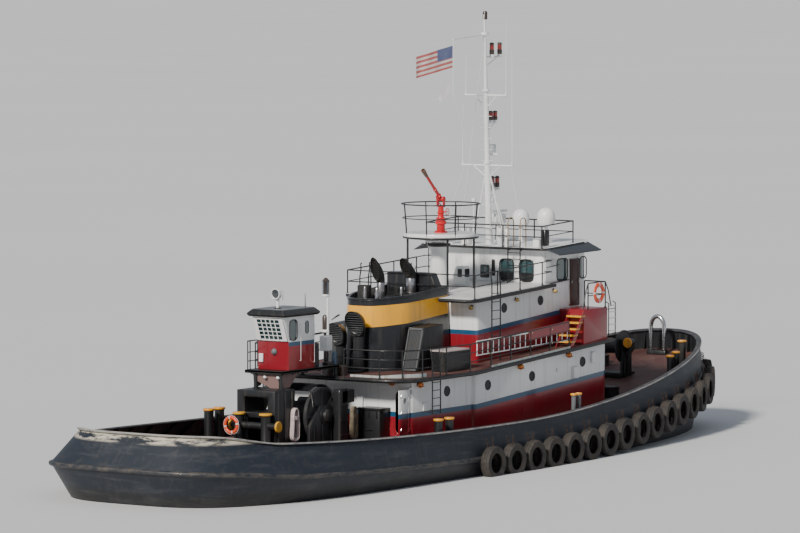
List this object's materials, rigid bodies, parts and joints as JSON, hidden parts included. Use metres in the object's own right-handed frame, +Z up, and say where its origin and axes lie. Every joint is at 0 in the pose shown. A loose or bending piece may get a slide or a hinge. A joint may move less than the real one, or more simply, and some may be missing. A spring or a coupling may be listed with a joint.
{
  "type": "tugboat",
  "caption": "Twin-screw ship-handling tug with towing winch, aft control cab, fire monitor, raised pilothouse, mast and tyre fenders.",
  "frame": {"origin": "on the waterline, on the centreline, amidships between the ends of the bulwark cap", "axes": "+X forward, +Y to port, +Z up"},
  "size_m": [35.5474, 10.9064, 19.45],
  "materials": {
    "paint_hull": "semi-gloss blue-black hull enamel, scuffed",
    "paint_black": "semi-gloss black enamel",
    "paint_white": "gloss white enamel",
    "paint_red": "gloss dark red enamel",
    "paint_monitor_red": "gloss bright red enamel",
    "paint_yellow": "gloss yellow-orange enamel with black below and above",
    "paint_grey": "satin grey enamel",
    "paint_brown": "varnish-brown enamel",
    "paint_orange": "orange buoy skin",
    "paint_antifouling": "matt red-brown antifouling",
    "stainless": "polished stainless steel",
    "bronze": "cast propeller bronze",
    "tyre_rubber": "worn tyre rubber",
    "window_glass": "dark tinted glass",
    "rope_fibre": "laid fibre rope",
    "flag_cloth": "thin flag cloth"
  },
  "bodies": {
    "boat": {"hull": "paint_hull", "bulwark": "paint_hull", "tyre_fenders_starboard": "tyre_rubber", "tyre_fenders_port": "tyre_rubber", "main_deckhouse": "paint_white", "boat_deck": "paint_black", "upper_deckhouse": "paint_white", "bridge_deck": "paint_black", "pilothouse": "paint_white", "pilothouse_glass": "window_glass", "pilothouse_roof": "paint_grey", "bridge_wing_starboard": "paint_red", "bridge_wing_port": "paint_red", "boat_deck_rail_starboard": "paint_black", "boat_deck_rail_port": "paint_black", "bridge_deck_rail": "paint_black", "wing_rail_starboard": "paint_black", "wing_rail_port": "paint_black", "roof_rail": "paint_black", "stack_casing": "paint_yellow", "exhausts": "stainless", "cowl_ventilators": "paint_black", "vent_trunk_starboard": "paint_grey", "vent_trunk_port": "paint_grey", "deck_locker": "paint_black", "monitor_platform": "paint_white", "mast": "paint_white", "ensign": "flag_cloth", "pennant": "flag_cloth", "control_cab": "paint_red", "cab_window_guard": "paint_white", "cab_roof": "paint_black", "cab_platform": "paint_black", "light_post": "paint_white", "towing_winch_frame": "paint_black", "tow_lead_frame": "paint_black", "towing_bitt": "paint_black", "bow_winch_frame": "paint_black", "hawser_staple": "stainless", "hose_locker": "paint_black", "gangway": "paint_white", "life_ring_wing": "paint_orange", "life_ring_aft": "paint_orange", "rope_hank_white": "rope_fibre", "rope_hank_tan": "rope_fibre"},
    "propeller_starboard": {"propeller_starboard": "bronze"},
    "propeller_port": {"propeller_port": "bronze"},
    "rudder_starboard": {"rudder_starboard": "paint_antifouling"},
    "rudder_port": {"rudder_port": "paint_antifouling"},
    "door_main_starboard": {"door_main_starboard": "paint_red"},
    "door_main_port": {"door_main_port": "paint_red"},
    "door_pilothouse_starboard": {"door_pilothouse_starboard": "paint_brown"},
    "door_pilothouse_port": {"door_pilothouse_port": "paint_brown"},
    "radar_scanner": {"radar_scanner": "paint_white"},
    "monitor_swivel": {"monitor_swivel": "paint_monitor_red"},
    "monitor_barrel": {"monitor_barrel": "paint_monitor_red"},
    "door_cab": {"door_cab": "paint_red"},
    "searchlight": {"searchlight": "paint_white"},
    "towing_winch_drum": {"towing_winch_drum": "paint_grey"},
    "bow_winch_drum": {"bow_winch_drum": "paint_grey"}
  },
  "joints": [
    {"name": "propeller_starboard_spin", "type": "hinge", "parent": "boat", "child": "propeller_starboard", "pos_m": [-12.9, -2.05, -2.3], "axis": [1, 0, 0], "continuous": true},
    {"name": "propeller_port_spin", "type": "hinge", "parent": "boat", "child": "propeller_port", "pos_m": [-12.9, 2.05, -2.3], "axis": [1, 0, 0], "continuous": true},
    {"name": "rudder_starboard_turn", "type": "hinge", "parent": "boat", "child": "rudder_starboard", "pos_m": [-14.5, -2.05, -1.05], "axis": [0, 0, 1], "range_deg": [-35, 35]},
    {"name": "rudder_port_turn", "type": "hinge", "parent": "boat", "child": "rudder_port", "pos_m": [-14.5, 2.05, -1.05], "axis": [0, 0, 1], "range_deg": [-35, 35]},
    {"name": "monitor_train", "type": "hinge", "parent": "boat", "child": "monitor_swivel", "pos_m": [1.2, 0, 8.36], "axis": [0, 0, 1], "range_deg": [-170, 170]},
    {"name": "monitor_elevate", "type": "hinge", "parent": "monitor_swivel", "child": "monitor_barrel", "pos_m": [1.2, 0, 9.15], "axis": [0, 1, 0], "range_deg": [-33, 37]},
    {"name": "radar_spin", "type": "hinge", "parent": "boat", "child": "radar_scanner", "pos_m": [5.5, 0.32, 8.42], "axis": [0, 0, 1], "continuous": true},
    {"name": "searchlight_train", "type": "hinge", "parent": "boat", "child": "searchlight", "pos_m": [-8.8, 0, 6.12], "axis": [0, 0, 1], "range_deg": [-170, 170]},
    {"name": "towing_drum_spin", "type": "hinge", "parent": "boat", "child": "towing_winch_drum", "pos_m": [-7.75, 0, 2.2], "axis": [0, 1, 0], "continuous": true},
    {"name": "bow_drum_spin", "type": "hinge", "parent": "boat", "child": "bow_winch_drum", "pos_m": [12.75, 0, 3.12], "axis": [0, 1, 0], "continuous": true},
    {"name": "door_main_starboard_swing", "type": "hinge", "parent": "boat", "child": "door_main_starboard", "pos_m": [-5.32, -3.04, 2.19], "axis": [0, 0, 1], "range_deg": [-90, 60]},
    {"name": "door_main_port_swing", "type": "hinge", "parent": "boat", "child": "door_main_port", "pos_m": [-5.32, 3.04, 2.19], "axis": [0, 0, 1], "range_deg": [-110, 0]},
    {"name": "door_pilothouse_starboard_swing", "type": "hinge", "parent": "boat", "child": "door_pilothouse_starboard", "pos_m": [6.58, -2.44, 5.99], "axis": [0, 0, 1], "range_deg": [0, 100]},
    {"name": "door_pilothouse_port_swing", "type": "hinge", "parent": "boat", "child": "door_pilothouse_port", "pos_m": [6.58, 2.44, 5.99], "axis": [0, 0, 1], "range_deg": [-100, 0]},
    {"name": "door_cab_swing", "type": "hinge", "parent": "boat", "child": "door_cab", "pos_m": [-7.5, 0.54, 4.68], "axis": [0, 0, 1], "range_deg": [0, 100]}
  ],
  "couplings": [
    {"joint": "rudder_port_turn", "follows": "rudder_starboard_turn", "ratio": 1}
  ]
}
